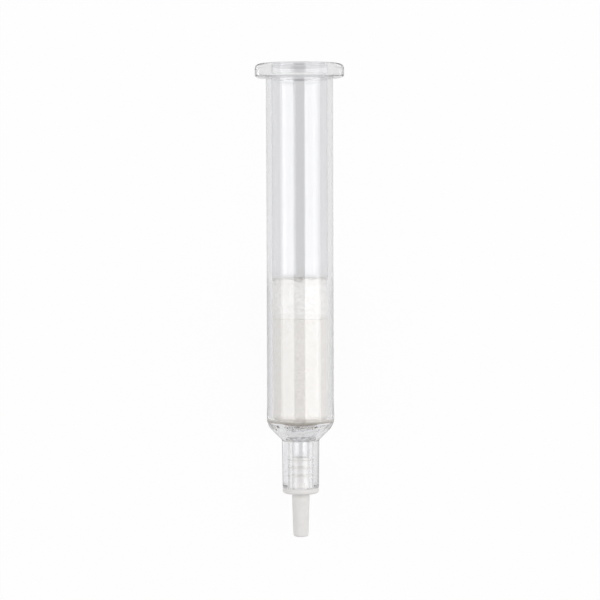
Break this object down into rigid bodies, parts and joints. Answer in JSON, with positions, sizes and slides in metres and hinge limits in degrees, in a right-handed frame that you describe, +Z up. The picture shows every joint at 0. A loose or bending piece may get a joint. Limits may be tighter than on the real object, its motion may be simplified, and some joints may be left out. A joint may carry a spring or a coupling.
{
  "type": "SPE cartridge",
  "caption": "Glass column with a round flange, a coned shoulder and a thick neck, packed with two granular beds between porous discs, with a white push-in Luer tip.",
  "frame": {"origin": "under the middle of the cartridge, on the surface that it lies on", "axes": "+Y along the length, from the Luer tip to the flange; +Z up; the cartridge's own axis rises by 1.8 degrees towards the flange"},
  "size_m": [0.0229, 0.1223, 0.0229],
  "materials": {
    "glass": "clear borosilicate glass, fire polished",
    "ptfe": "turned white PTFE, faintly waxy",
    "frit": "porous white polymer",
    "sorbent": "fine off-white granules",
    "drying_salt": "coarser white crystals"
  },
  "bodies": {
    "root": {"glass_barrel": "glass", "luer_tip": "ptfe", "bottom_frit": "frit", "sorbent_bed": "sorbent", "middle_frit": "frit", "upper_bed": "drying_salt", "top_frit": "frit"}
  },
  "joints": []
}
